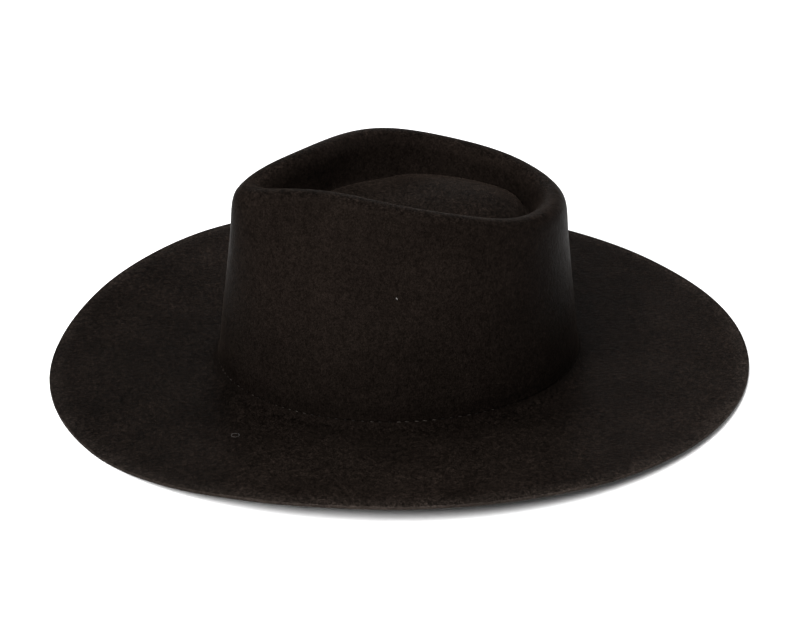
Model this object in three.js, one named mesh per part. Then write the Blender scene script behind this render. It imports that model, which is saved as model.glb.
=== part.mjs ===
// A rancher hat: one blocked felt body, with a teardrop crown on a wide brim, and the leather sweatband
// inside its foot. Millimetres, +Z up. The brim's lowest edges rest on z = 0, the front points to -Y and
// the wearer's left is +X.

import * as THREE from "three";

// Thickness of the pieces, and the air between two pieces that touch.
const FELT = 2;
const LEATHER = 1;
const CLEARANCE = 0.3;

// The head oval inside the sweatband, for a 58 cm head. The crown's foot follows it from outside.
const HEAD = { halfLength: 101.2, halfWidth: 84.7, middle: -1 };
const WRAP = FELT + CLEARANCE + LEATHER;
const FOOT = {
  halfLength: HEAD.halfLength + WRAP,
  halfWidth: HEAD.halfWidth + WRAP,
  middle: HEAD.middle,
  height: 5.4, // of the fold between crown and brim, halfway along the hat
  frontRise: 1.4, // how much higher than that the fold is at the front, and lower at the back
  foldRadius: 4.5,
};

// The brim's cut edge is a plain oval. A narrow rim lies level, so that its lowest stretches rest flat.
const BRIM = { halfLength: 200, halfWidth: 181, levelRim: 7 };
const SETTLED = { height: 0.6, easing: 1.2 };

// The crown's rolled top edge, the crease inside it, and the dome that the crease leaves standing.
const RIDGE = { halfLength: 84.5, middle: -0.5 };
const GROOVE = { halfLength: 73, middle: 1, depth: 7.5 };
const DOME = { y: 24, crossfall: 7.6e-5, crossfallFrom: -50 };

const SWEATBAND = { height: 35 };

// The dome's crest along the hat, from the valley at the front to the slope at the back, every 25 mm.
// Across the hat the dome falls away on both sides, the more so the further back.
const CREST = [
  { y: -80, height: 104.5 },
  { y: -55, height: 102.5 },
  { y: -30, height: 102.5 },
  { y: -5, height: 102.5 },
  { y: 20, height: 104.5 },
  { y: 45, height: 101 },
  { y: 70, height: 92 },
  { y: 95, height: 82 },
];

// Both tables below describe the hat every 20 degrees round it, from the front (0) to the back (180), and
// the other side mirrors them. Half widths lie across the hat, and heights are over the surface that it
// rests on. The crown's ridge is the centre of its rolled top edge, and its groove is the corner under the
// crease's rounded floor.
const CROWN = [
  { angle: 0, ridgeHalfWidth: 0, ridgeHeight: 108.5, rollRadius: 11, grooveHalfWidth: 0 },
  { angle: 20, ridgeHalfWidth: 8, ridgeHeight: 110.5, rollRadius: 10.5, grooveHalfWidth: 6.5 },
  { angle: 40, ridgeHalfWidth: 18, ridgeHeight: 114.5, rollRadius: 9, grooveHalfWidth: 14.5 },
  { angle: 60, ridgeHalfWidth: 32, ridgeHeight: 116, rollRadius: 8, grooveHalfWidth: 26.5 },
  { angle: 80, ridgeHalfWidth: 50.5, ridgeHeight: 114, rollRadius: 7.5, grooveHalfWidth: 38.5 },
  { angle: 100, ridgeHalfWidth: 59, ridgeHeight: 109, rollRadius: 7.5, grooveHalfWidth: 45.5 },
  { angle: 120, ridgeHalfWidth: 56, ridgeHeight: 102, rollRadius: 7.5, grooveHalfWidth: 44 },
  { angle: 140, ridgeHalfWidth: 43.5, ridgeHeight: 97, rollRadius: 8, grooveHalfWidth: 37 },
  { angle: 160, ridgeHalfWidth: 23.5, ridgeHeight: 94, rollRadius: 8.5, grooveHalfWidth: 23.5 },
  { angle: 180, ridgeHalfWidth: 0, ridgeHeight: 92.5, rollRadius: 9, grooveHalfWidth: 0 },
];

// The edge is the underside of the brim's cut edge before it settles, and the bulge is how far the crown's
// wall swells outwards halfway up.
const SKIRT = [
  { angle: 0, edgeHeight: 0, bulge: -0.5 },
  { angle: 20, edgeHeight: 1.2, bulge: 0 },
  { angle: 40, edgeHeight: 6.6, bulge: 1.6 },
  { angle: 60, edgeHeight: 12.1, bulge: 2.2 },
  { angle: 80, edgeHeight: 12.5, bulge: 1.8 },
  { angle: 100, edgeHeight: 10, bulge: 1.3 },
  { angle: 120, edgeHeight: 6.5, bulge: 0.8 },
  { angle: 140, edgeHeight: 3.7, bulge: -0.7 },
  { angle: 160, edgeHeight: 1.3, bulge: -1 },
  { angle: 180, edgeHeight: 0, bulge: -0.2 },
];

// Where the profile's points lie: shares of the way from the dome's top to the groove, from the groove back
// to the dome and up to the ridge's roll, down the wall and out along the brim, and the directions of the
// points on the roll, in degrees above the horizontal.
const DOME_SHARES = [0.22, 0.45, 0.67, 0.87];
const FLOOR_SHARES = { dome: 0.55, roll: 0.6 };
const ROLL_INSIDE = [20, 65];
const ROLL_OUTSIDE = [70, 35, 8];
const WALL_SHARES = [0.2, 0.42];
const BRIM_SHARES = [0.3, 0.6];
const FOLD_PULL = 0.27; // how far the fold is drawn in from its sharp corner, as a share of its radius

// How finely the surface is divided: segments round the hat, extra rows on both sides of the crease's
// floor, and the sweatband's rows, as shares of the way from its top to its foot.
const SEGMENTS = 96;
const FLOOR_SPREAD = 0.5;
const SWEATBAND_SHARES = [0, 0.33, 0.67, 1];
const UP = new THREE.Vector3(0, 0, 1);

// A column of a table as a smooth closed loop: a sine series for half widths, which change sign across the
// hat, and a cosine series for the rest.
function loopOf(table, column, wave) {
  const last = table.length - 1;
  const share = (i) => (i === 0 || i === last ? 0.5 : 1);
  const terms = table.map((_, k) => {
    const parts = table.map((row, i) => share(i) * row[column] * wave((Math.PI * i * k) / last));
    const sum = parts.reduce((total, part) => total + part, 0);
    return (2 / last) * share(k) * sum;
  });
  return (angle) => terms.reduce((total, term, k) => total + term * wave(k * angle), 0);
}

const ridgeHalfWidth = loopOf(CROWN, "ridgeHalfWidth", Math.sin);
const ridgeHeight = loopOf(CROWN, "ridgeHeight", Math.cos);
const rollRadius = loopOf(CROWN, "rollRadius", Math.cos);
const grooveHalfWidth = loopOf(CROWN, "grooveHalfWidth", Math.sin);
const edgeHeight = loopOf(SKIRT, "edgeHeight", Math.cos);
const bulgeOf = loopOf(SKIRT, "bulge", Math.cos);

// The dome's height at a place.
const crest = new THREE.SplineCurve(CREST.map((row) => new THREE.Vector2(row.y, row.height)));
function domeHeight(x, y) {
  const share = (y - CREST[0].y) / (CREST[CREST.length - 1].y - CREST[0].y);
  const crossfall = DOME.crossfall * Math.max(y - DOME.crossfallFrom, 0);
  return crest.getPoint(share).y - crossfall * x ** 2;
}

// The edge's height once its lowest stretches have settled flat on the surface.
function settled(height) {
  const lifted = height - SETTLED.height;
  if (lifted <= 0) return 0;
  if (lifted < SETTLED.easing) return lifted ** 2 / (2 * SETTLED.easing);
  return lifted - SETTLED.easing / 2;
}

// Small helpers on points.
const along = (from, to, share) => from.clone().lerp(to, share);
const heading = (from, to) => to.clone().sub(from).normalize();
const level = (from, to) => to.clone().sub(from).setZ(0).normalize();
const moved = (point, direction, distance) => point.clone().addScaledVector(direction, distance);

// The point of the ridge's roll that lies the given degrees above the horizontal, on the side of the given
// direction.
function onRoll(centre, radius, sideways, degrees) {
  const lift = THREE.MathUtils.degToRad(degrees);
  const outwards = sideways.clone().multiplyScalar(Math.cos(lift)).addScaledVector(UP, Math.sin(lift));
  return moved(centre, outwards, radius);
}

// The points that the felt's outer side passes through at one angle round the hat, from the dome's top to
// the cut edge.
function profile(angle) {
  const across = Math.sin(angle);
  const back = -Math.cos(angle);
  const ridgeY = RIDGE.middle + RIDGE.halfLength * back;
  const ridge = new THREE.Vector3(ridgeHalfWidth(angle), ridgeY, ridgeHeight(angle));
  const grooveY = GROOVE.middle + GROOVE.halfLength * back;
  const groove = new THREE.Vector3(grooveHalfWidth(angle), grooveY, 0);
  groove.z = domeHeight(groove.x, groove.y) - GROOVE.depth;
  const footY = FOOT.middle + FOOT.halfLength * back;
  const footHeight = FOOT.height - FOOT.frontRise * back;
  const foot = new THREE.Vector3(FOOT.halfWidth * across, footY, footHeight);
  const top = settled(edgeHeight(angle)) + FELT;
  const edge = new THREE.Vector3(BRIM.halfWidth * across, BRIM.halfLength * back, top);

  // The dome falls away to the groove. The first point mirrors the next one, so that the top is level.
  const apex = new THREE.Vector3(0, DOME.y, domeHeight(0, DOME.y));
  const dome = DOME_SHARES.map((share) => {
    const point = along(apex, groove, share);
    return point.setZ(domeHeight(point.x, point.y));
  });
  const beyond = apex.clone().multiplyScalar(2).sub(dome[0]).setZ(dome[0].z);

  // The crease's floor rounds the corner between the dome and the slope that climbs to the roll.
  const inwards = level(ridge, groove);
  const radius = rollRadius(angle);
  const floorStart = along(groove, dome[dome.length - 1], FLOOR_SHARES.dome);
  const floorEnd = along(groove, moved(ridge, inwards, radius), FLOOR_SHARES.roll);
  const floorMiddle = along(along(floorStart, floorEnd, 0.5), groove, 0.5);
  const outwards = level(ridge, foot);
  const roll = [
    ...ROLL_INSIDE.map((degrees) => onRoll(ridge, radius, inwards, degrees)),
    ...ROLL_OUTSIDE.map((degrees) => onRoll(ridge, radius, outwards, degrees)),
  ];

  // The wall runs from the roll down to the fold and swells by a parabola, which is 1 at its middle. One
  // of its points lies at the sweatband's top.
  const shoulder = roll[roll.length - 1];
  const wallEnd = moved(foot, heading(foot, shoulder), FOOT.foldRadius);
  const bandShare = 1 - SWEATBAND.height / shoulder.distanceTo(wallEnd);
  const wall = [...WALL_SHARES, bandShare].map((share) => {
    const swell = bulgeOf(angle) * 4 * share * (1 - share);
    return moved(along(shoulder, wallEnd, share), outwards, swell);
  });

  // The brim leaves the fold and runs out to its level rim.
  const brimwards = heading(foot, edge);
  const pull = heading(foot, shoulder).add(brimwards);
  const fold = moved(foot, pull, FOOT.foldRadius * FOLD_PULL);
  const brimStart = moved(foot, brimwards, FOOT.foldRadius);
  const width = Math.hypot(edge.x - foot.x, edge.y - foot.y);
  const rim = along(foot, edge, 1 - BRIM.levelRim / width).setZ(edge.z);
  const brim = BRIM_SHARES.map((share) => along(foot, edge, share));

  const crown = [beyond, apex, ...dome, floorStart, floorMiddle, floorEnd, ...roll, ...wall, wallEnd];
  return [...crown, fold, brimStart, ...brim, rim, edge];
}

// Rows count the profile's points from the dome's top, so the top is row 0.
const LAST_ROW = profile(0).length - 2;
const BRIM_ROWS = BRIM_SHARES.length + 3; // from the brim's start to its edge
const BRIM_ROW = LAST_ROW - BRIM_ROWS + 1;
const WALL_END_ROW = BRIM_ROW - 2;
const BAND_TOP_ROW = WALL_END_ROW - 1;
const FLOOR_ROW = DOME_SHARES.length + 2; // the floor's middle
const RIDGE_TOP_ROW = FLOOR_ROW + ROLL_INSIDE.length + 1.5;

// A point on the felt's outer side. Rows between whole numbers lie on the smooth curve through the
// profile's points.
function feltPoint(angle, row) {
  const points = profile(angle);
  const curve = new THREE.CatmullRomCurve3(points, false, "centripetal");
  return curve.getPoint(Math.min((row + 1) / (points.length - 1), 1));
}

// A point at a depth under the felt's outer side. The brim's thickness is measured straight down.
function under(angle, row, depth) {
  const point = feltPoint(angle, row);
  if (row === 0 || row >= BRIM_ROW) return point.addScaledVector(UP, -depth);
  const step = 1e-3;
  const down = feltPoint(angle, row + step).sub(feltPoint(angle, row - step));
  const round = feltPoint(angle + step, row).sub(feltPoint(angle - step, row));
  const inwards = round.cross(down).normalize();
  return point.addScaledVector(inwards, depth);
}

// A closed ring of points round the hat, at one row and depth.
function ring(row, depth) {
  const angles = Array.from({ length: SEGMENTS }, (_, i) => (2 * Math.PI * i) / SEGMENTS);
  return angles.map((angle) => under(angle, row, depth));
}

// A closed surface over a run of rings. With poles, the run begins and ends in a single point. Without, it
// closes on itself.
function loft(rings, poles) {
  const positions = rings.flat().flatMap((point) => point.toArray());
  const starts = [];
  rings.reduce((start, points) => {
    starts.push(start);
    return start + points.length;
  }, 0);
  const index = [];
  const pairs = poles ? rings.length - 1 : rings.length;
  for (let r = 0; r < pairs; r++) {
    const next = (r + 1) % rings.length;
    for (let i = 0; i < SEGMENTS; i++) {
      const j = (i + 1) % SEGMENTS;
      const [a, b] = [i, j].map((place) => starts[r] + (place % rings[r].length));
      const [c, d] = [i, j].map((place) => starts[next] + (place % rings[next].length));
      if (c !== d) index.push(a, c, d);
      if (a !== b) index.push(a, d, b);
    }
  }
  const geometry = new THREE.BufferGeometry();
  geometry.setAttribute("position", new THREE.Float32BufferAttribute(positions, 3));
  geometry.setIndex(index);
  geometry.computeVertexNormals();
  return geometry;
}

// The felt body: its outer side from the dome's top to the cut edge, then its inner side back to the top.
function feltBody() {
  const rows = Array.from({ length: LAST_ROW }, (_, i) => i + 1);
  rows.push(FLOOR_ROW - FLOOR_SPREAD, FLOOR_ROW + FLOOR_SPREAD, RIDGE_TOP_ROW);
  rows.sort((a, b) => a - b);
  const outside = rows.map((row) => ring(row, 0));
  const inside = rows.map((row) => ring(row, FELT)).reverse();
  const rings = [[under(0, 0, 0)], ...outside, ...inside, [under(0, 0, FELT)]];
  const material = new THREE.MeshStandardMaterial({ color: 0x1c1612, roughness: 0.95, metalness: 0 });
  const mesh = new THREE.Mesh(loft(rings, true), material);
  mesh.name = "felt_crown_and_brim";
  return mesh;
}

// The sweatband: a leather strip that stands inside the crown's wall, from the fold up.
function sweatband() {
  const rows = SWEATBAND_SHARES.map((share) => BAND_TOP_ROW + share * (WALL_END_ROW - BAND_TOP_ROW));
  const outside = rows.map((row) => ring(row, FELT + CLEARANCE));
  const inside = rows.map((row) => ring(row, WRAP)).reverse();
  const material = new THREE.MeshStandardMaterial({ color: 0x17120f, roughness: 0.55, metalness: 0 });
  const mesh = new THREE.Mesh(loft([...outside, ...inside], false), material);
  mesh.name = "sweatband";
  return mesh;
}

const group = new THREE.Group();
group.add(feltBody(), sweatband());

export default group;
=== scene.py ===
import math
from collections import namedtuple

import bpy
import numpy as np
from bpy.props import FloatProperty, FloatVectorProperty, IntProperty, PointerProperty
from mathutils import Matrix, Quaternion, Vector


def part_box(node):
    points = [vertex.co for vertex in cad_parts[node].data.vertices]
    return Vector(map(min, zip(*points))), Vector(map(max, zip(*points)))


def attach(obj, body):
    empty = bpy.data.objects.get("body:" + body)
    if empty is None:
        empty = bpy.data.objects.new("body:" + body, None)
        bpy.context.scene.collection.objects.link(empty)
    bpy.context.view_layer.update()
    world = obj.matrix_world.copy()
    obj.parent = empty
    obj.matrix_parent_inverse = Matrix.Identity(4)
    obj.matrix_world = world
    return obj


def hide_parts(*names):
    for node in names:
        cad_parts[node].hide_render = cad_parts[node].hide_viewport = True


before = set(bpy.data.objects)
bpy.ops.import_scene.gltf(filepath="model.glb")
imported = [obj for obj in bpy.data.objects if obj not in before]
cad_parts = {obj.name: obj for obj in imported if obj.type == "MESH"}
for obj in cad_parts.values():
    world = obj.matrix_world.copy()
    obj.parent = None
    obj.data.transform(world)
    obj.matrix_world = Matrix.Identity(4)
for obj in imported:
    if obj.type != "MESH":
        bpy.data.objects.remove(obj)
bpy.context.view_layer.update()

bl_info = {
    "name": "Rancher Hat",
    "version": (1, 0, 0),
    "blender": (4, 5, 0),
    "location": "3D View > Sidebar > Rancher Hat",
    "description": "A black felt rancher hat with its sweatband, stitches and studio",
    "category": "Add Mesh",
}

FELT_NODE = "felt_crown_and_brim"
BAND_NODE = "sweatband"
MM = 0.001

# Shape of the hat, in millimetres. The brim's lowest edges rest on z = 0, the front points to -Y and the
# wearer's left is +X. Angles run round the hat from the front (0) over the wearer's left to the back (180).
Oval = namedtuple("Oval", "half_length half_width middle")
Crown = namedtuple("Crown", "angle ridge_half_width ridge_height roll_radius groove_half_width")
Skirt = namedtuple("Skirt", "angle edge_height bulge")
Stretch = namedtuple("Stretch", "name start end steps")

brim_low, brim_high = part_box(FELT_NODE)

# The brim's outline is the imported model's. The foot is the line where the wall and the brim would meet if
# there were no fold. The brim ends in a level rim, and its lowest stretches settle flat on the surface.
BRIM = Oval((brim_high.y - brim_low.y) / 2 / MM, (brim_high.x - brim_low.x) / 2 / MM, 0)
FOOT = Oval(104.5, 88, -1)
FOOT_HEIGHT = 5.4
FOOT_FRONT_RISE = 1.4
FOLD_RADIUS = 4.5
FOLD_PULL = 0.27
LEVEL_RIM = 7
SETTLED_HEIGHT = 0.6
SETTLED_EASING = 1.2

# The crown's ridge is the centre of its rolled top edge, and its groove is the corner under the crease's
# rounded floor.
RIDGE_HALF_LENGTH = 84.5
RIDGE_MIDDLE = -0.5
GROOVE_HALF_LENGTH = 73
GROOVE_MIDDLE = 1
GROOVE_DEPTH = 7.5
DOME_Y = 24
DOME_CROSSFALL = 7.6e-5
CROSSFALL_FROM = -50

# The dome's crest along the hat, from the front valley to the slope at the back.
CREST_Y = [-80, -55, -30, -5, 20, 45, 70, 95]
CREST_HEIGHT = [104.5, 102.5, 102.5, 102.5, 104.5, 101, 92, 82]

CROWN = [
    Crown(0, 0, 108.5, 11, 0),
    Crown(20, 8, 110.5, 10.5, 6.5),
    Crown(40, 18, 114.5, 9, 14.5),
    Crown(60, 32, 116, 8, 26.5),
    Crown(80, 50.5, 114, 7.5, 38.5),
    Crown(100, 59, 109, 7.5, 45.5),
    Crown(120, 56, 102, 7.5, 44),
    Crown(140, 43.5, 97, 8, 37),
    Crown(160, 23.5, 94, 8.5, 23.5),
    Crown(180, 0, 92.5, 9, 0),
]

# The height of the brim's cut edge before it settles, and how far the crown's wall swells halfway up.
SKIRT = [
    Skirt(0, 0, -0.5),
    Skirt(20, 1.2, 0),
    Skirt(40, 6.6, 1.6),
    Skirt(60, 12.1, 2.2),
    Skirt(80, 12.5, 1.8),
    Skirt(100, 10, 1.3),
    Skirt(120, 6.5, 0.8),
    Skirt(140, 3.7, -0.7),
    Skirt(160, 1.3, -1),
    Skirt(180, 0, -0.2),
]

# Where the profile's points lie, as shares of each stretch and as degrees above the horizontal on the roll.
DOME_SHARES = [0.22, 0.45, 0.67, 0.87]
FLOOR_SHARES = (0.55, 0.6)
ROLL_INSIDE = [20, 65]
ROLL_OUTSIDE = [70, 35, 8]
WALL_SHARES = [0.2, 0.42]
BRIM_SHARES = [0.3, 0.6]

# Rows count the profile's points from the dome's top.
FLOOR_ROW = len(DOME_SHARES) + 2
ROLL_ROW = FLOOR_ROW + 2
SHOULDER_ROW = ROLL_ROW + len(ROLL_INSIDE) + len(ROLL_OUTSIDE) - 1
BAND_TOP_ROW = SHOULDER_ROW + len(WALL_SHARES) + 1
WALL_END_ROW = BAND_TOP_ROW + 1
FOLD_ROW = WALL_END_ROW + 1
BRIM_ROW = FOLD_ROW + 1
RIM_ROW = BRIM_ROW + len(BRIM_SHARES) + 1
EDGE_ROW = RIM_ROW + 1
STITCHED_START_ROW = WALL_END_ROW - 0.15
STITCHED_END_ROW = WALL_END_ROW + 0.5

# How finely each stretch of the felt's outer and inner sides is divided, from the dome's top to the rim.
OUTSIDE = [
    Stretch("dome", 0, FLOOR_ROW, 28),
    Stretch("crease", FLOOR_ROW, ROLL_ROW, 10),
    Stretch("roll", ROLL_ROW, SHOULDER_ROW, 14),
    Stretch("wall", SHOULDER_ROW, STITCHED_START_ROW, 26),
    Stretch("stitched foot", STITCHED_START_ROW, STITCHED_END_ROW, 12),
    Stretch("fold", STITCHED_END_ROW, BRIM_ROW, 6),
    Stretch("brim", BRIM_ROW, RIM_ROW, 24),
    Stretch("rim", RIM_ROW, EDGE_ROW, 7),
]
INSIDE = [
    Stretch("dome", 0, FLOOR_ROW, 17),
    Stretch("crease", FLOOR_ROW, ROLL_ROW, 7),
    Stretch("roll", ROLL_ROW, SHOULDER_ROW, 10),
    Stretch("wall", SHOULDER_ROW, WALL_END_ROW, 14),
    Stretch("fold", WALL_END_ROW, BRIM_ROW, 8),
    Stretch("brim", BRIM_ROW, RIM_ROW, 16),
    Stretch("rim", RIM_ROW, EDGE_ROW, 3),
]

# The points in a full ring. The short rings near the dome's top have fewer, each count up to its own row.
RING_POINTS = 384
SHORT_RINGS = [(0.8, RING_POINTS // 8), (1.7, RING_POINTS // 4), (3.2, RING_POINTS // 2)]

# The brim next to the cut edge has this share of the edge's paler colour: a painted glow of light along
# the rim.
RIM_GLOW_SHARE = 0.35

# The felt's colour is darkened towards the fold over this distance: painted shade that stands for the crown's
# shadow on the brim and the shade in the fold. The wall loses a share of that darkening, bit by bit over a
# rise that starts at a height over the fold.
FOLD_SHADE_REACH = 70
FOLD_SHADE_LOSS = 0.6
FOLD_SHADE_LOSS_START = 5
FOLD_SHADE_LOSS_RISE = 10

# The blocking's unevenness is a sum of waves, each one's length between two limits. It sets in at a height
# over the table and grows to its full depth over a rise.
RIPPLE_SEED = 11
RIPPLE_COUNT = 14
RIPPLE_LENGTHS = (49, 112)
RIPPLE_START = 0.5
RIPPLE_RISE = 5

# The furrow that the stitches draw fades this fast for each row above and below them. From one row to the
# next it is farther on the wall above them than in the fold below.
STITCH_ROW = WALL_END_ROW + 0.12
BAND_STITCH_ROW = WALL_END_ROW - 0.07
FURROW_FADE_ABOVE = 22
FURROW_FADE_BELOW = 3.2

# The stitches on the felt lie deeper at the hat's front and back, where the sine of their angle is under one
# limit, than at its sides, where it is over the other.
STITCH_SINK = 0.22
FULLY_SUNK_SINE = 0.8
NOT_SUNK_SINE = 0.95

# How unevenly the stitches are spaced, as a share of their spacing, and how steeply they lean.
STITCH_SEED = 5
STITCH_STRAY = 0.06
STITCH_LEAN = (0.02, 0.12)

# A stitch arches by so many of its thread's radii, and its ends lie so many radii under the surface. Its two
# strands stand out by a share of the radius and turn round each other.
STITCH_STEPS = 11
STITCH_SIDES = 10
STITCH_ARCH = 2.4
STITCH_DEPTH = 1.8
STRAND_RELIEF = 0.16
STRAND_TURN = 2.2 * math.pi

# The sweatband's edges are rounded by a share of its thickness. Its seam at the back is a dent, and the steps
# round the band are finer within an angle of it, in radians.
BAND_ROWS = 22
BAND_STEPS = 330
LIP_ROUNDING = 0.42
SEAM_DEPTH = 0.35
SEAM_HALF_WIDTH = 0.5
SEAM_REACH = 0.03
SEAM_STEPS = 25

# Stray lint on the felt: its angle and row on the hat, its length and thickness, and in degrees the way it
# starts off and how far it turns along its length. It is raised by a share of its thickness, and its ends
# keep a little of that thickness.
LINT_STEPS = 40
LINT_SIDES = 6
LINT_RAISE = 0.35
LINT_LEAST = 0.02
Lint = namedtuple("Lint", "angle row length thickness start curl")
LINT = [
    Lint(77, 13.8, 1.5, 0.52, 100, 60),
    Lint(35.5, 19.15, 24, 0.08, 20, 620),
    # The third stands for a small pale spot by the wall's foot whose cause is not known, made as a short
    # fibre.
    Lint(125.5, 16.75, 2.2, 0.14, 80, 90),
]


class HatSizes(bpy.types.PropertyGroup):
    """Sizes that a maker would change."""

    felt_thickness: FloatProperty(
        name="Felt", description="Thickness of the felt", default=0.002, unit="LENGTH")
    edge_rounding: FloatProperty(
        name="Edge Rounding", description="Radius of the cut edge's corners", default=0.00055, unit="LENGTH")
    # The band's paler colour is a painted glow of light along the rim.
    painted_glow_band: FloatProperty(
        name="Rim Band", description="Width of the brim's outermost band, where the felt turns paler",
        default=0.011, unit="LENGTH")
    unevenness: FloatProperty(
        name="Unevenness", description="How far the blocked felt strays from an even shape",
        default=0.00035, unit="LENGTH")
    furrow_depth: FloatProperty(
        name="Furrow", description="How far the stitches draw the felt in", default=0.0004, unit="LENGTH")
    leather_thickness: FloatProperty(
        name="Leather", description="Thickness of the sweatband", default=0.001, unit="LENGTH")
    leather_gap: FloatProperty(
        name="Gap", description="Air between the felt and the sweatband", default=0.0003, unit="LENGTH")
    sweatband_height: FloatProperty(
        name="Sweatband", description="Height of the sweatband", default=0.035, unit="LENGTH")
    stitch_count: IntProperty(
        name="Stitches", description="Number of stitches round the hat", default=132)
    stitch_length: FloatProperty(
        name="Stitch", description="Length of the thread that shows in one stitch",
        default=0.0027, unit="LENGTH")
    thread_thickness: FloatProperty(
        name="Thread", description="Thickness of the thread", default=0.0005, unit="LENGTH")


class HatColours(bpy.types.PropertyGroup):
    """Colours that a maker would change."""

    felt: FloatVectorProperty(
        name="Felt", description="Colour of the felt", subtype="COLOR", size=3,
        default=(0.0036, 0.0026, 0.0021))
    sheen: FloatVectorProperty(
        name="Nap", description="Colour of the nap where light grazes it", subtype="COLOR", size=3,
        default=(0.98, 0.73, 0.58))
    # The cut edge is paler than the felt, partly as cut felt is and partly as a painted glow of light along
    # the rim.
    edge_paleness_and_glow: FloatVectorProperty(
        name="Cut Edge", description="Colour of the felt's cut edge", subtype="COLOR", size=3,
        default=(0.0138, 0.0109, 0.0093))
    leather: FloatVectorProperty(
        name="Leather", description="Colour of the sweatband", subtype="COLOR", size=3,
        default=(0.0085, 0.006, 0.0048))
    thread: FloatVectorProperty(
        name="Thread", description="Colour of the thread", subtype="COLOR", size=3,
        default=(0.0088, 0.0073, 0.0063))
    lint: FloatVectorProperty(
        name="Lint", description="Colour of stray lint", subtype="COLOR", size=3,
        default=(0.12, 0.112, 0.107))
    floor: FloatVectorProperty(
        name="Floor", description="Colour of the studio floor", subtype="COLOR", size=3,
        default=(0.92, 0.92, 0.92))


class StudioSettings(bpy.types.PropertyGroup):
    """The camera and the lights."""

    camera_azimuth: FloatProperty(
        name="Azimuth", description="Camera's direction from the hat's front towards the wearer's left",
        default=math.radians(74), subtype="ANGLE")
    camera_elevation: FloatProperty(
        name="Elevation", description="Camera's height over the horizon", default=math.radians(28.34),
        subtype="ANGLE")
    camera_roll: FloatProperty(
        name="Roll", description="Camera's turn about its own view",
        default=math.radians(0.37), subtype="ANGLE")
    camera_distance: FloatProperty(
        name="Distance", description="Camera's distance from the hat", default=1.6, unit="LENGTH")
    focal_length: FloatProperty(
        name="Focal Length", description="Focal length of the lens", default=126.4, unit="CAMERA")
    light_power: FloatProperty(
        name="Lights", description="Power of a lamp whose share is 1", default=30, unit="POWER")
    room_light: FloatProperty(
        name="Room", description="Strength of the white room's light", default=0.42)


def xyz(x, y, z):
    """Three arrays or numbers as one array of points."""
    return np.stack(np.broadcast_arrays(x, y, z), axis=-1).astype(float)


def unit(vectors):
    """The vectors' directions."""
    return vectors / np.maximum(np.linalg.norm(vectors, axis=-1, keepdims=True), 1e-12)


def level(vectors):
    """The vectors' level directions."""
    return unit(vectors * [1, 1, 0])


def smooth(share):
    """A share that leaves 0 and reaches 1 softly."""
    share = np.clip(share, 0, 1)
    return share * share * (3 - 2 * share)


def loop_of(table, column, wave):
    """A column of a table as a smooth closed loop of the angle: a sine series for half widths, which change
    sign across the hat, and a cosine series for the rest."""
    values = np.array([getattr(row, column) for row in table], float)
    last = len(values) - 1
    orders = np.arange(last + 1)
    weights = np.ones(last + 1)
    weights[[0, last]] = 0.5
    terms = 2 / last * weights * (wave(np.pi * np.outer(orders, orders) / last) @ (weights * values))
    return lambda angles: wave(np.multiply.outer(angles, orders)) @ terms


ridge_half_width = loop_of(CROWN, "ridge_half_width", np.sin)
ridge_height = loop_of(CROWN, "ridge_height", np.cos)
roll_radius = loop_of(CROWN, "roll_radius", np.cos)
groove_half_width = loop_of(CROWN, "groove_half_width", np.sin)
edge_height = loop_of(SKIRT, "edge_height", np.cos)
wall_bulge = loop_of(SKIRT, "bulge", np.cos)


def crest_height(y):
    """The dome's crest as a smooth curve through its table."""
    heights = np.array(CREST_HEIGHT, float)
    last = len(heights) - 1
    place = np.clip((y - CREST_Y[0]) / (CREST_Y[1] - CREST_Y[0]), 0, last - 1e-9)
    start = place.astype(int)
    share = place - start
    before, a, b, after = (heights[np.clip(start + i, 0, last)] for i in (-1, 0, 1, 2))
    return hermite(a, b, (b - before) / 2, (after - a) / 2, share)


def hermite(a, b, leaving, arriving, share):
    """The cubic from a to b with the given slopes at its ends."""
    cubic = 2 * a - 2 * b + leaving + arriving
    square = 3 * b - 3 * a - 2 * leaving - arriving
    return ((cubic * share + square) * share + leaving) * share + a


def dome_height(x, y):
    """The dome falls away from its crest to both sides, and more so towards the back."""
    return crest_height(y) - DOME_CROSSFALL * np.maximum(y - CROSSFALL_FROM, 0) * x**2


def settled(height):
    """The edge's height once its lowest stretches have settled flat on the surface."""
    lifted = np.maximum(height - SETTLED_HEIGHT, 0)
    eased = lifted**2 / (2 * SETTLED_EASING)
    return np.where(lifted < SETTLED_EASING, eased, lifted - SETTLED_EASING / 2)


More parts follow.
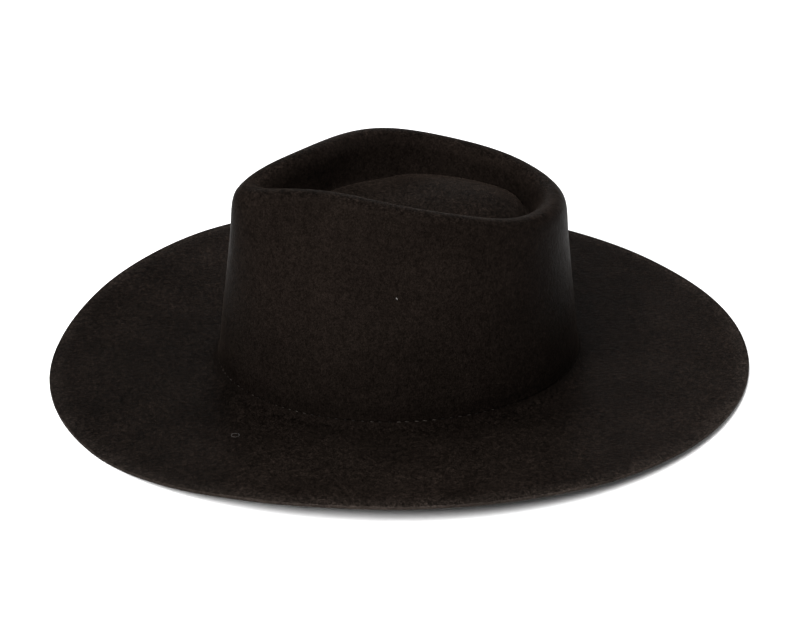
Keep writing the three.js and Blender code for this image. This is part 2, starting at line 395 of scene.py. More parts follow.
def profile(angles, felt):
    """The points that the felt's outer side passes through, from beyond the dome's top to the cut edge, as an
    array of points by angles by xyz."""
    across = np.sin(angles)
    back = -np.cos(angles)
    ridge = xyz(ridge_half_width(angles), RIDGE_MIDDLE + RIDGE_HALF_LENGTH * back, ridge_height(angles))
    groove = xyz(groove_half_width(angles), GROOVE_MIDDLE + GROOVE_HALF_LENGTH * back, 0)
    groove[..., 2] = dome_height(groove[..., 0], groove[..., 1]) - GROOVE_DEPTH
    foot_height = FOOT_HEIGHT - FOOT_FRONT_RISE * back
    foot = xyz(FOOT.half_width * across, FOOT.middle + FOOT.half_length * back, foot_height)
    edge = xyz(BRIM.half_width * across, BRIM.half_length * back, settled(edge_height(angles)) + felt)

    # The dome falls away to the groove. The first point mirrors the next one, so that the top is level.
    apex = xyz(0 * across, DOME_Y, dome_height(0, np.array(DOME_Y)))
    dome = [apex + (groove - apex) * share for share in DOME_SHARES]
    for points in dome:
        points[..., 2] = dome_height(points[..., 0], points[..., 1])
    beyond = 2 * apex - dome[0]
    beyond[..., 2] = dome[0][..., 2]

    # The crease's floor rounds the corner between the dome and the slope that climbs to the roll.
    inwards = level(groove - ridge)
    outwards = level(foot - ridge)
    radius = roll_radius(angles)[:, None]
    floor_start = groove + (dome[-1] - groove) * FLOOR_SHARES[0]
    floor_end = groove + (ridge + inwards * radius - groove) * FLOOR_SHARES[1]
    floor_middle = (floor_start + floor_end) / 4 + groove / 2
    roll = [on_roll(ridge, radius, inwards, degrees) for degrees in ROLL_INSIDE]
    roll += [on_roll(ridge, radius, outwards, degrees) for degrees in ROLL_OUTSIDE]

    # The wall runs down to the fold and swells between. One of its points lies at the sweatband's top.
    shoulder = roll[-1]
    wallwards = unit(shoulder - foot)
    wall_end = foot + wallwards * FOLD_RADIUS
    height = np.linalg.norm(shoulder - wall_end, axis=-1, keepdims=True)
    band_share = 1 - bpy.context.scene.hat_sizes.sweatband_height / MM / height
    swell = 4 * wall_bulge(angles)[:, None] * outwards
    wall = []
    for share in (*WALL_SHARES, band_share):
        wall.append(shoulder + (wall_end - shoulder) * share + swell * share * (1 - share))

    # The brim leaves the fold and runs out to its level rim.
    brimwards = unit(edge - foot)
    fold = foot + (wallwards + brimwards) * FOLD_RADIUS * FOLD_PULL
    brim_start = foot + brimwards * FOLD_RADIUS
    width = np.linalg.norm((edge - foot)[..., :2], axis=-1, keepdims=True)
    rim = foot + (edge - foot) * (1 - LEVEL_RIM / width)
    rim[..., 2] = edge[..., 2]
    brim = [foot + (edge - foot) * share for share in BRIM_SHARES]

    crown = [beyond, apex, *dome, floor_start, floor_middle, floor_end, *roll, *wall, wall_end]
    return np.stack([*crown, fold, brim_start, *brim, rim, edge])


def on_roll(centre, radius, sideways, degrees):
    """Points on the ridge's roll, at a height in degrees above the horizontal."""
    lift = math.radians(degrees)
    return centre + radius * (math.cos(lift) * sideways + math.sin(lift) * np.array([0, 0, 1]))


def felt_points(angles, rows):
    """Points of the felt's outer side in millimetres, as an array of rows by angles by xyz. Rows between
    whole numbers lie on the smooth curve through the profile's points."""
    knots = profile(np.asarray(angles, float), bpy.context.scene.hat_sizes.felt_thickness / MM)
    last = len(knots) - 1
    knots = np.concatenate([2 * knots[:1] - knots[1:2], knots, 2 * knots[-1:] - knots[-2:-1]])
    place = np.clip(np.asarray(rows, float) + 1, 0, last)
    start = np.minimum(place.astype(int), last - 1)
    share = (place - start)[:, None, None]
    before, a, b, after = (knots[start + i] for i in range(4))
    steps = [np.sqrt(np.linalg.norm(end - begin, axis=-1, keepdims=True))
             for begin, end in ((before, a), (a, b), (b, after))]
    slope_in = (a - before) / steps[0] - (b - before) / (steps[0] + steps[1]) + (b - a) / steps[1]
    slope_out = (b - a) / steps[1] - (after - a) / (steps[1] + steps[2]) + (after - b) / steps[2]
    return hermite(a, b, slope_in * steps[1], slope_out * steps[1], share)


def into_felt(angles, rows):
    """Directions into the felt from its outer side, like felt_points. On the brim and at the dome's top they
    point straight down."""
    rows = np.asarray(rows, float)
    step = 1e-3
    down = felt_points(angles, rows + step) - felt_points(angles, rows - step)
    around = felt_points(angles + step, rows) - felt_points(angles - step, rows)
    directions = unit(np.cross(around, down))
    upright = np.where(rows == 0, 1, smooth(rows - BRIM_ROW + 1))[:, None, None]
    return unit(directions * (1 - upright) + np.array([0, 0, -1]) * upright)


def rows_of(stretches):
    """The rows of a list of stretches, each one once."""
    rows = [np.linspace(s.start, s.end, s.steps, endpoint=False) for s in stretches]
    return np.concatenate([*rows, [stretches[-1].end]])


def ripples(points):
    """Smooth waves through space that are about 1 at most, for points in millimetres."""
    random = np.random.default_rng(RIPPLE_SEED)
    directions = unit(random.normal(size=(RIPPLE_COUNT, 3)))
    lengths = random.uniform(*RIPPLE_LENGTHS, RIPPLE_COUNT)
    phases = random.uniform(0, 2 * np.pi, RIPPLE_COUNT)
    waves = np.sin(points @ (2 * np.pi * directions / lengths[:, None]).T + phases)
    highest = 1.6 * math.sqrt(RIPPLE_COUNT)
    return waves.sum(axis=-1) / highest


def mesh_object(name, vertices, faces, material):
    """A smooth mesh object from points in millimetres."""
    mesh = bpy.data.meshes.new(name)
    mesh.from_pydata((np.asarray(vertices) * MM).tolist(), [], faces)
    mesh.materials.append(material)
    mesh.validate()
    mesh.shade_smooth()
    made = bpy.data.objects.new(name, mesh)
    bpy.context.scene.collection.objects.link(made)
    return made


def ring_faces(starts, sizes, closed):
    """Faces between neighbouring rings of points. A ring may have as many points as the next one, half or
    twice as many, or a single one."""
    faces = []
    for i in range(len(starts) if closed else len(starts) - 1):
        following = (i + 1) % len(starts)
        first, second = starts[i], starts[following]
        count, next_count = sizes[i], sizes[following]
        if count == 1:
            faces += [(first, second + j, second + (j + 1) % next_count) for j in range(next_count)]
        elif next_count == 1:
            faces += [(first + j, second, first + (j + 1) % count) for j in range(count)]
        elif count == next_count:
            for j in range(count):
                k = (j + 1) % count
                faces.append((first + j, second + j, second + k, first + k))
        else:
            few, many = min(count, next_count), max(count, next_count)
            for j in range(few):
                k = (j + 1) % few
                left, middle, right = 2 * j, 2 * j + 1, (2 * j + 2) % many
                if count < next_count:
                    faces.append((first + j, second + left, second + middle))
                    faces.append((first + j, second + middle, first + k))
                    faces.append((first + k, second + middle, second + right))
                else:
                    faces.append((first + left, second + j, first + middle))
                    faces.append((first + middle, second + j, second + k))
                    faces.append((first + middle, second + k, first + right))
    return faces


def tube_faces(starts, sides):
    """Faces of a tube through rings of points, closed at both ends."""
    first = tuple(range(starts[0], starts[0] + sides))
    last = tuple(range(starts[-1], starts[-1] + sides))
    return [*ring_faces(starts, [sides] * len(starts), False), first, last[::-1]]


def ring_size(row):
    """Points in the ring at a row: a single one at the dome's top, and fewer than in a full ring near it."""
    if row == 0:
        return 1
    for limit, count in SHORT_RINGS:
        if row < limit:
            return count
    return RING_POINTS


def full_turn(count):
    """Evenly spaced angles round the hat."""
    return np.arange(count) * 2 * np.pi / count


def displaced_ring(row, depth):
    """A ring of the felt at a depth under its outer side, with the unevenness of hand blocking and the furrow
    that the stitches draw."""
    sizes = bpy.context.scene.hat_sizes
    angles = full_turn(ring_size(row))
    points = felt_points(angles, [row])[0]
    inwards = into_felt(angles, [row])[0]
    off_table = smooth((points[:, 2] - sizes.felt_thickness / MM - RIPPLE_START) / RIPPLE_RISE)
    stray = ripples(points) * sizes.unevenness / MM * off_table
    fade = FURROW_FADE_ABOVE if row < STITCH_ROW else FURROW_FADE_BELOW
    furrow = sizes.furrow_depth / MM * np.exp(-(((row - STITCH_ROW) * fade) ** 2))
    ring = points + inwards * (depth + stray + furrow)[:, None]
    ring[:, 2] = np.maximum(ring[:, 2], 0)
    return ring


def rounded_lip(corner, inwards, lipwards, thickness, radius, degrees):
    """Rings round a sheet's free edge, from its outer side to its inner side. Both corners are rounded, with
    a ring at each of the given angles round them."""
    first = []
    second = []
    for turn in np.radians(degrees):
        set_back = radius * (1 - math.cos(turn))
        short_of_lip = corner - lipwards * radius * (1 - math.sin(turn))
        first.append(short_of_lip + inwards * set_back)
        second.append(short_of_lip + inwards * (thickness - set_back))
    return first + second[::-1]


def build_felt_body(sizes, colours):
    """The crown and the brim as one shell: its outer side, the cut edge and its inner side."""
    felt = sizes.felt_thickness / MM
    radius = sizes.edge_rounding / MM
    outside = [displaced_ring(row, 0) for row in rows_of(OUTSIDE)]
    inside = [displaced_ring(row, felt) for row in rows_of(INSIDE)]
    outer_edge = outside[-1]
    inwards = level(outside[-2] - outer_edge)
    outside[-1] = outer_edge + inwards * radius
    inside[-1] = inside[-1] + inwards * radius
    cut = rounded_lip(outer_edge, np.array([0, 0, -1]), -inwards, felt, radius, [30, 60, 90])
    rings = outside + cut + inside[::-1]
    counts = [len(ring) for ring in rings]
    starts = np.concatenate([[0], np.cumsum(counts)[:-1]]).tolist()
    body = mesh_object("felt_body", np.concatenate(rings), ring_faces(starts, counts, False),
                       felt_material(colours))
    mark_edge_paleness_and_glow(body, rings, range(len(outside), len(outside) + len(cut)), sizes.painted_glow_band / MM)
    fold = rings[int(np.abs(rows_of(OUTSIDE) - FOLD_ROW).argmin())]
    mark_painted_fold_shade(body, rings, fold)
    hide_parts(FELT_NODE)
    return body


def mark_edge_paleness_and_glow(body, rings, cut, band):
    """Stores on each point how much of the cut edge's paler colour it has: all of it on the edge, where that
    is partly the cut felt's own paleness and partly a painted glow, and less and less over the brim's
    outermost band, where it is a painted glow of light along the rim."""
    edge = rings[cut[0]]
    values = []
    for i, ring in enumerate(rings):
        if i in cut:
            values.append(np.ones(len(ring)))
        elif len(ring) < len(edge):
            values.append(np.zeros(len(ring)))
        else:
            away = np.linalg.norm((ring - edge)[:, :2], axis=1)
            values.append(RIM_GLOW_SHARE * smooth(1 - away / band))
    store_values(body, "edge_paleness_and_glow", values)


def mark_painted_fold_shade(body, rings, fold):
    """Stores on each point how much painted shade it gets from the fold, which stands for the crown's shadow
    on
    the brim and the shade in the fold: all of it in the fold, and less and less over the brim and up the
    wall."""
    values = []
    for ring in rings:
        if len(ring) < len(fold):
            values.append(np.zeros(len(ring)))
        else:
            away = np.linalg.norm(ring - fold, axis=1)
            higher = smooth(((ring - fold)[:, 2] - FOLD_SHADE_LOSS_START) / FOLD_SHADE_LOSS_RISE)
            values.append(smooth(1 - away / FOLD_SHADE_REACH) * (1 - FOLD_SHADE_LOSS * higher))
    store_values(body, "painted_fold_shade", values)


def store_values(body, name, values):
    """Stores a number on each point of a piece, given ring by ring."""
    attribute = body.data.attributes.new(name, "FLOAT", "POINT")
    attribute.data.foreach_set("value", np.concatenate(values).astype(np.float32))


def felt_material(colours):
    """Matte wool felt: tangled fibres, fine speckle, cloudy patches and a nap that catches light."""
    material, tree, shader, place = new_material("wool_felt")
    speckle = noise(tree, place, 1100, 3, 0.65)
    pills = noise(tree, place, 430, 2, 0.6)
    clumps = noise(tree, place, 170, 3, 0.6)
    clouds = noise(tree, place, 30, 3, 0.55)
    fibres = tangled_fibres(tree, place)

    shade = spread(tree, speckle, 0.35, 0.65, 0.5, 1.6)
    shade = vary(tree, shade, pills, 0.3, 0.7, 0.62, 1.4)
    shade = vary(tree, shade, clumps, 0.3, 0.7, 0.88, 1.12)
    shade = vary(tree, shade, clouds, 0.3, 0.7, 0.82, 1.18)
    shade = vary(tree, shade, fibres, 0.5, 0.8, 0.85, 1.8)

    # The nap has more contrast where the felt lies level, on the brim and the dome, than on the wall.
    # The felt that faces up is also darkened: in part this evens out the brightening that the extra
    # contrast brings, and in part it is painted shade that tones down the light from above. Painted
    # shade darkens the colour in the fold and at the hat's front too.
    facing = tree.nodes.new("ShaderNodeNewGeometry").outputs["Normal"]
    upwards = part_of(tree, facing, "Z")
    shade = maths(tree, "POWER", shade, spread(tree, upwards, 0.6, 0.95, 0.8, 1.65))
    shade = vary(tree, shade, upwards, 0.6, 0.95, 1, 0.8)
    # Painted shade: darker towards the fold, as if in the crown's shadow, and a little lighter away from it.
    shade = vary(tree, shade, stored_value(tree, "painted_fold_shade"), 0, 1, 1.08, 0.62)
    # Painted shade: darker towards the hat's front.
    shade = vary(tree, shade, part_of(tree, place, "Y"), -0.2, -0.08, 0.62, 1)
    # Towards the cut edge the colour turns paler: partly the cut felt's own paleness, partly a painted glow.
    base = mix_colour(tree, stored_value(tree, "edge_paleness_and_glow"), colours.felt, colours.edge_paleness_and_glow)
    paint(tree, shader, base, shade)
    tree.links.new(spread(tree, clumps, 0.3, 0.7, 0.4, 0.5), shader.inputs["Roughness"])

    relief = blend(tree, (fibres, 0.6), (speckle, 0.7), (pills, 1.1), (clumps, 0.8))
    emboss(tree, shader, relief, spread(tree, upwards, 0.5, 0.9, 0.64, 0.95), 0.0004)

    shader.inputs["Specular IOR Level"].default_value = 0.007
    shader.inputs["Specular Tint"].default_value = (*colours.sheen, 1)
    shader.inputs["Sheen Weight"].default_value = 0.016
    shader.inputs["Sheen Roughness"].default_value = 0.2
    shader.inputs["Sheen Tint"].default_value = (*colours.sheen, 1)
    return material


def tangled_fibres(tree, place):
    """Fine hairs that lie in several directions: the highest of a few stretched noises."""
    highest = None
    for turn in ((0.3, 0.2, 0), (1.3, 0.9, 0.5), (0.7, 1.9, 1.4), (2.2, 0.6, 2.3)):
        mapping = tree.nodes.new("ShaderNodeMapping")
        mapping.inputs["Rotation"].default_value = turn
        mapping.inputs["Scale"].default_value = (1, 1, 0.12)
        tree.links.new(place, mapping.inputs["Vector"])
        hairs = noise(tree, mapping.outputs["Vector"], 2600, 1, 0.5)
        highest = hairs if highest is None else maths(tree, "MAXIMUM", highest, hairs)
    return highest


def build_sweatband(sizes, colours):
    """The leather strip inside the crown's foot, with rounded edges and a butted seam at the back."""
    felt = sizes.felt_thickness / MM
    outer_depth = felt + sizes.leather_gap / MM
    leather = sizes.leather_thickness / MM
    radius = LIP_ROUNDING * leather
    seam_angles = math.pi + np.linspace(-SEAM_REACH, SEAM_REACH, SEAM_STEPS)
    rest = np.linspace(seam_angles[-1], seam_angles[0] + 2 * math.pi, BAND_STEPS)[1:-1]
    angles = np.concatenate([seam_angles, rest])
    rows = np.linspace(BAND_TOP_ROW, WALL_END_ROW, BAND_ROWS)
    points = felt_points(angles, rows)
    inwards = into_felt(angles, rows)
    top_way = unit(points[0] - points[-1])
    seam = SEAM_DEPTH * np.exp(-((angles - math.pi) * FOOT.half_length / SEAM_HALF_WIDTH) ** 2)[:, None]
    outer = list(points[1:-1] + inwards[1:-1] * outer_depth)
    inner = list(points[1:-1] + inwards[1:-1] * (outer_depth + leather - seam))
    foot = points[-1] + inwards[-1] * outer_depth
    head = points[0] + inwards[0] * outer_depth
    turns = [0, 30, 60, 90]
    bottom = rounded_lip(foot, inwards[-1], -top_way, leather, radius, turns)
    top = rounded_lip(head, inwards[0], top_way, leather, radius, turns)
    rings = outer + bottom + inner[::-1] + top[::-1]
    counts = [len(angles)] * len(rings)
    starts = (np.arange(len(rings)) * len(angles)).tolist()
    band = mesh_object("sweatband_leather", np.concatenate(rings), ring_faces(starts, counts, True),
                       leather_material(colours))
    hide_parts(BAND_NODE)
    return band


def leather_material(colours):
    """Smooth dark hat leather with a fine pebbled grain and soft creases."""
    material, tree, shader, place = new_material("sweatband_leather")
    pebbles = tree.nodes.new("ShaderNodeTexVoronoi")
    pebbles.feature = "DISTANCE_TO_EDGE"
    pebbles.inputs["Scale"].default_value = 900
    tree.links.new(place, pebbles.inputs["Vector"])
    creases = noise(tree, place, 120, 4, 0.6)
    clouds = noise(tree, place, 30, 2, 0.5)
    shade = spread(tree, creases, 0.3, 0.7, 0.85, 1.18)
    paint(tree, shader, colours.leather, vary(tree, shade, clouds, 0.3, 0.7, 0.88, 1.14))
    tree.links.new(spread(tree, creases, 0.3, 0.7, 0.42, 0.6), shader.inputs["Roughness"])
    grain = spread(tree, pebbles.outputs["Distance"], 0, 0.25, 0, 1)
    emboss(tree, shader, blend(tree, (grain, 0.6), (creases, 0.9)), 0.5, 0.00025)
    shader.inputs["Specular IOR Level"].default_value = 0.4
    return material


def thread_material(colours):
    """Spun thread, a little fuzzy, that shows more in some stitches than in others."""
    material, tree, shader, place = new_material("spun_thread")
    fuzz = noise(tree, place, 5000, 2, 0.6)
    wear = spread(tree, noise(tree, place, 110, 1, 0.5), 0.4, 0.6, 0.4, 2.4)
    paint(tree, shader, colours.thread, vary(tree, wear, fuzz, 0.3, 0.7, 0.7, 1.35))
    shader.inputs["Roughness"].default_value = 0.5
    shader.inputs["Specular IOR Level"].default_value = 0.03
    return material


def lint_material(colours):
    """Pale fluff."""
    material, tree, shader, place = new_material("pale_lint")
    fluff = noise(tree, place, 4000, 2, 0.5)
    paint(tree, shader, colours.lint, spread(tree, fluff, 0.3, 0.7, 0.75, 1.2))
    shader.inputs["Roughness"].default_value = 0.8
    return material


def new_material(name):
    """A material with its node tree, its shader and the place on the object, which its patterns follow."""
    material = bpy.data.materials.new(name)
    material.use_nodes = True
    tree = material.node_tree
    place = tree.nodes.new("ShaderNodeTexCoord").outputs["Object"]
    return material, tree, tree.nodes["Principled BSDF"], place


def noise(tree, place, scale, detail, roughness):
    """A noise's value, with its scale in repeats for each metre."""
    node = tree.nodes.new("ShaderNodeTexNoise")
    node.inputs["Scale"].default_value = scale
    node.inputs["Detail"].default_value = detail
    node.inputs["Roughness"].default_value = roughness
    tree.links.new(place, node.inputs["Vector"])
    return node.outputs["Fac"]


def stored_value(tree, name):
    """A value that the mesh stores on its points."""
    node = tree.nodes.new("ShaderNodeAttribute")
    node.attribute_name = name
    return node.outputs["Fac"]


def feed(tree, value, socket):
    """Links a socket to another one, or sets it to a number or colour."""
    if isinstance(value, bpy.types.NodeSocket):
        tree.links.new(value, socket)
    else:
        socket.default_value = value


def paint(tree, shader, colour, shade):
    """Gives the shader a colour, made lighter or darker by a shade."""
    node = tree.nodes.new("ShaderNodeVectorMath")
    node.operation = "SCALE"
    feed(tree, colour, node.inputs[0])
    feed(tree, shade, node.inputs["Scale"])
    tree.links.new(node.outputs[0], shader.inputs["Base Color"])


def emboss(tree, shader, relief, strength, distance):
    """Gives the shader a relief, with its depth in metres."""
    node = tree.nodes.new("ShaderNodeBump")
    feed(tree, strength, node.inputs["Strength"])
    node.inputs["Distance"].default_value = distance
    tree.links.new(relief, node.inputs["Height"])
    tree.links.new(node.outputs["Normal"], shader.inputs["Normal"])


def maths(tree, operation, first, second):
    """A Math node on two values, each one a socket or a number."""
    node = tree.nodes.new("ShaderNodeMath")
    node.operation = operation
    feed(tree, first, node.inputs[0])
    feed(tree, second, node.inputs[1])
    return node.outputs[0]


def part_of(tree, vector, axis):
    """A vector's part along an axis."""
    node = tree.nodes.new("ShaderNodeSeparateXYZ")
    tree.links.new(vector, node.inputs["Vector"])
    return node.outputs[axis]


def blend(tree, *parts):
    """The sum of some values, each one times its weight."""
    total = None
    for value, weight in parts:
        weighted = maths(tree, "MULTIPLY", value, weight)
        total = weighted if total is None else maths(tree, "ADD", total, weighted)
    return total


def spread(tree, value, low, high, to_low, to_high):
    """A value's range from low to high, laid over another range and held inside it."""
    node = tree.nodes.new("ShaderNodeMapRange")
    tree.links.new(value, node.inputs["Value"])
    for name, number in (("From Min", low), ("From Max", high), ("To Min", to_low), ("To Max", to_high)):
        node.inputs[name].default_value = number
    return node.outputs["Result"]


def vary(tree, shade, value, low, high, to_low, to_high):
    """A shade, made lighter or darker by a value's range that is laid over another range."""
    return maths(tree, "MULTIPLY", shade, spread(tree, value, low, high, to_low, to_high))


def mix_colour(tree, share, first, second):
    """The first colour at a share of 0, the second one at 1 and their mixture between."""
    node = tree.nodes.new("ShaderNodeMix")
    node.data_type = "RGBA"
    tree.links.new(share, node.inputs["Factor"])
    colours = [socket for socket in node.inputs if socket.type == "RGBA"]
    colours[0].default_value = (*first, 1)
    colours[1].default_value = (*second, 1)
    return next(socket for socket in node.outputs if socket.type == "RGBA")


def stitch_row(name, sizes, row, depth, outside, material):
    """A row of short stitches round the hat: each one comes out of a hole, lies on the surface and goes back
    in. The thread is two strands twisted together."""
    radius = sizes.thread_thickness / MM / 2
    length = sizes.stitch_length / MM
    count = sizes.stitch_count
    perimeter = math.pi * (FOOT.half_length + FOOT.half_width)
    spans = np.linspace(-0.5, 0.5, STITCH_STEPS) * length * 2 * np.pi / perimeter
    random = np.random.default_rng(STITCH_SEED)
    middles = full_turn(count) + random.uniform(-STITCH_STRAY, STITCH_STRAY, count) * 2 * np.pi / count
    angles = (middles[:, None] + spans).ravel()
    shape = (count, STITCH_STEPS, 3)
    inwards = into_felt(angles, [row])[0].reshape(shape)
    points = felt_points(angles, [row])[0].reshape(shape)
    away = -inwards if outside else inwards
    along = unit(np.gradient(points, axis=1))
    side = unit(np.cross(along, away))
    lean = random.uniform(*STITCH_LEAN, count)[:, None, None]
    slant = lean * np.linspace(-1, 1, STITCH_STEPS)[None, :, None] * length
    arch = np.cos(np.linspace(-np.pi / 2, np.pi / 2, STITCH_STEPS))
    lift = radius * (STITCH_ARCH * arch - STITCH_DEPTH)
    if outside:
        sine = np.abs(np.sin(middles))
        sunk = 1 - smooth((sine - FULLY_SUNK_SINE) / (NOT_SUNK_SINE - FULLY_SUNK_SINE))
        depth = depth + STITCH_SINK * sunk[:, None, None]
    centres = points + inwards * depth + away * lift[None, :, None] + side * slant
    around = full_turn(STITCH_SIDES)
    twist = np.linspace(0, STRAND_TURN, STITCH_STEPS)
    radii = radius * (1 + STRAND_RELIEF * np.cos(2 * (around[None, :] - twist[:, None])))
    radii[[0, -1]] *= 0.5
    offsets = (np.cos(around)[None, :, None] * side[:, :, None, :]
               + np.sin(around)[None, :, None] * away[:, :, None, :])
    vertices = centres[:, :, None, :] + offsets * radii[None, :, :, None]
    vertices = vertices.reshape(-1, 3)
    faces = []
    for stitch in range(count):
        begin = stitch * STITCH_STEPS * STITCH_SIDES
        faces += tube_faces([begin + i * STITCH_SIDES for i in range(STITCH_STEPS)], STITCH_SIDES)
    return mesh_object(name, vertices, faces, material)


def build_lint(colours):
    """A few stray fibres that lie on the felt."""
    ring_starts = np.arange(LINT_STEPS) * LINT_SIDES
    around = full_turn(LINT_SIDES)[None, :, None]
    share = np.linspace(0, 1, LINT_STEPS)
    thinning = np.sqrt(np.maximum(1 - (2 * share - 1) ** 4, LINT_LEAST))[:, None, None]
    vertices = []
    faces = []
    for fibre in LINT:
        angles = math.radians(fibre.angle) + np.array([0, 1e-3])
        points = felt_points(angles, [fibre.row])[0]
        away = -into_felt(angles[:1], [fibre.row])[0, 0]
        sideways = unit(points[1] - points[0])
        downwards = np.cross(away, sideways)
        heading = np.radians(fibre.start + fibre.curl * share)
        ways = np.outer(np.cos(heading), sideways) + np.outer(np.sin(heading), downwards)
        path = np.cumsum(ways * fibre.length / LINT_STEPS, axis=0)
        path += points[0] - path.mean(axis=0) + away * fibre.thickness * LINT_RAISE
        radii = fibre.thickness / 2 * thinning
        across = np.cross(ways, away)[:, None, :]
        rings = path[:, None, :] + radii * (np.cos(around) * across + np.sin(around) * away)
        faces += tube_faces((ring_starts + len(vertices)).tolist(), LINT_SIDES)
        vertices += rings.reshape(-1, 3).tolist()
    return mesh_object("lint", vertices, faces, lint_material(colours))


class RANCHERHAT_OT_felt_body(bpy.types.Operator):
    """Makes the blocked felt body: the creased crown and the brim in one shell"""

    bl_idname = "rancher_hat.felt_body"
    bl_label = "Felt Body"

    def execute(self, context):
        scene = context.scene
        body = build_felt_body(scene.hat_sizes, scene.hat_colours)
        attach(body, "root")
        return {"FINISHED"}


class RANCHERHAT_OT_sweatband(bpy.types.Operator):
    """Makes the leather sweatband inside the crown's foot"""

    bl_idname = "rancher_hat.sweatband"
    bl_label = "Sweatband"

    def execute(self, context):
        scene = context.scene
        band = build_sweatband(scene.hat_sizes, scene.hat_colours)
        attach(band, "root")
        return {"FINISHED"}


class RANCHERHAT_OT_stitches(bpy.types.Operator):
    """Makes the stitches that hold the sweatband, as they show on the felt and on the leather"""

    bl_idname = "rancher_hat.stitches"
    bl_label = "Stitches"

    def execute(self, context):
        scene = context.scene
        sizes = scene.hat_sizes
        material = thread_material(scene.hat_colours)
        furrow = sizes.furrow_depth / MM
        leather = (sizes.felt_thickness + sizes.leather_gap + sizes.leather_thickness) / MM
        rows = [
            stitch_row("stitches_on_felt", sizes, STITCH_ROW, furrow, True, material),
            stitch_row("stitches_on_sweatband", sizes, BAND_STITCH_ROW, leather, False, material),
        ]
        for row in rows:
            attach(row, "root")
        return {"FINISHED"}


class RANCHERHAT_OT_lint(bpy.types.Operator):
    """Lays a few stray fibres on the felt"""

    bl_idname = "rancher_hat.lint"
    bl_label = "Lint"

    def execute(self, context):
        lint = build_lint(context.scene.hat_colours)
        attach(lint, "root")
        return {"FINISHED"}


class RANCHERHAT_OT_studio(bpy.types.Operator):
    """Makes the pale floor, the soft lights and the camera"""

    bl_idname = "rancher_hat.studio"
    bl_label = "Studio"

    def execute(self, context):
        scene = context.scene
        studio = scene.hat_studio
        build_floor(scene.hat_colours)
        build_lights(studio)
        build_camera(studio)
        scene.view_settings.view_transform = "Standard"
        return {"FINISHED"}


# In millimetres, like every mesh here.
FLOOR_HALF_WIDTH = 6000


def build_floor(colours):
    """A pale matte floor that reaches past the picture's edges."""
    half = FLOOR_HALF_WIDTH
    corners = [(-half, -half, 0), (half, -half, 0), (half, half, 0), (-half, half, 0)]
    material, tree, shader, place = new_material("pale_floor")
    shader.inputs["Base Color"].default_value = (*colours.floor, 1)
    roughness = spread(tree, noise(tree, place, 3, 2, 0.5), 0.3, 0.7, 0.85, 0.95)
    tree.links.new(roughness, shader.inputs["Roughness"])
    shader.inputs["Specular IOR Level"].default_value = 0.1
    floor = mesh_object("floor", corners, [(0, 1, 2, 3)], material)


def direction(azimuth, elevation):
    """The direction from the hat, from the front (0) towards the wearer's left (90)."""
    flat = math.cos(elevation)
    return Vector((math.sin(azimuth) * flat, -math.cos(azimuth) * flat, math.sin(elevation)))


# The studio's round soft lamps. A lamp's turn is its direction round the hat from the camera's, to the right
# as seen from there, both angles are in degrees, its width is in metres, and its share is of the studio's
# lamp power.
Lamp = namedtuple("Lamp", "name turn elevation width share")
LAMPS = [
    Lamp("key_lamp", -26, 41, 1.1, 2.2),
    Lamp("high_back_lamp", 180, 74, 1.3, 0.95),
    Lamp("right_lamp", 110, 30, 1.1, 0.1),
    Lamp("left_lamp", -42, 30, 1.1, 0.2),
    Lamp("low_back_lamp", 180, 12, 0.8, 0.06),
]
LAMP_DISTANCE = 1.9
LAMP_AIM = Vector((0, 0, 0.05))


def build_lights(studio):
    """The lamps, and the even light of a white room."""
    for lamp in LAMPS:
        data = bpy.data.lights.new(lamp.name, "AREA")
        data.shape = "DISK"
        data.size = lamp.width
        data.energy = studio.light_power * lamp.share
        way = direction(studio.camera_azimuth + math.radians(lamp.turn), math.radians(lamp.elevation))
        made = bpy.data.objects.new(lamp.name, data)
        made.location = LAMP_AIM + way * LAMP_DISTANCE
        made.rotation_euler = way.to_track_quat("Z", "Y").to_euler()
        bpy.context.scene.collection.objects.link(made)
    world = bpy.data.worlds.new("white_room")
    world.use_nodes = True
    background = world.node_tree.nodes["Background"]
    background.inputs["Color"].default_value = (1, 1, 1, 1)
    background.inputs["Strength"].default_value = studio.room_light
    bpy.context.scene.world = world


# The point that the photograph's view turns round, and the one at the middle of its frame, in metres.
VIEW_CENTRE = Vector((0, 0, 0.0074))
FRAME_CENTRE = Vector((-0.0075, 0.0013, 0.0215))


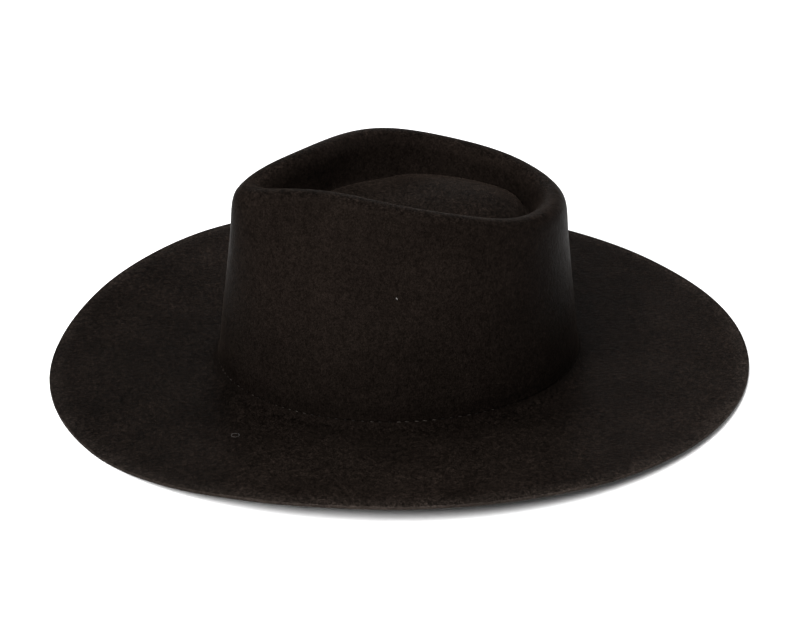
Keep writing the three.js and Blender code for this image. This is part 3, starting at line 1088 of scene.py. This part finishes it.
def build_camera(studio):
    """The camera that sees the hat as the photograph does."""
    data = bpy.data.cameras.new("camera")
    data.lens = studio.focal_length
    data.sensor_width = 36
    data.clip_end = 50
    camera = bpy.data.objects.new("camera", data)
    way = direction(studio.camera_azimuth, studio.camera_elevation)
    camera.location = VIEW_CENTRE + way * studio.camera_distance
    aim = (FRAME_CENTRE - camera.location).to_track_quat("-Z", "Y")
    camera.rotation_euler = (aim @ Quaternion((0, 0, 1), studio.camera_roll)).to_euler()
    bpy.context.scene.collection.objects.link(camera)
    bpy.context.scene.camera = camera


class RANCHERHAT_PT_panel(bpy.types.Panel):
    """Lists the hat's operators, sizes and colours, and the studio's settings"""

    bl_idname = "RANCHERHAT_PT_panel"
    bl_label = "Rancher Hat"
    bl_space_type = "VIEW_3D"
    bl_region_type = "UI"
    bl_category = "Rancher Hat"

    def draw(self, context):
        for operator in OPERATORS:
            self.layout.operator(operator.bl_idname)
        scene = context.scene
        for group in (scene.hat_sizes, scene.hat_colours, scene.hat_studio):
            box = self.layout.box()
            for name in group.bl_rna.properties.keys():
                if name not in ("rna_type", "name"):
                    box.prop(group, name)


OPERATORS = (
    RANCHERHAT_OT_felt_body,
    RANCHERHAT_OT_sweatband,
    RANCHERHAT_OT_stitches,
    RANCHERHAT_OT_lint,
    RANCHERHAT_OT_studio,
)
GROUPS = {"hat_sizes": HatSizes, "hat_colours": HatColours, "hat_studio": StudioSettings}


def register():
    for cls in (*GROUPS.values(), *OPERATORS, RANCHERHAT_PT_panel):
        bpy.utils.register_class(cls)
    for name, group in GROUPS.items():
        setattr(bpy.types.Scene, name, PointerProperty(type=group))


def unregister():
    for name in GROUPS:
        delattr(bpy.types.Scene, name)
    for cls in (RANCHERHAT_PT_panel, *OPERATORS, *GROUPS.values()):
        bpy.utils.unregister_class(cls)


def main():
    register()
    bpy.ops.rancher_hat.felt_body()
    bpy.ops.rancher_hat.sweatband()
    bpy.ops.rancher_hat.stitches()
    bpy.ops.rancher_hat.lint()
    bpy.ops.rancher_hat.studio()


if __name__ == "__main__":
    main()
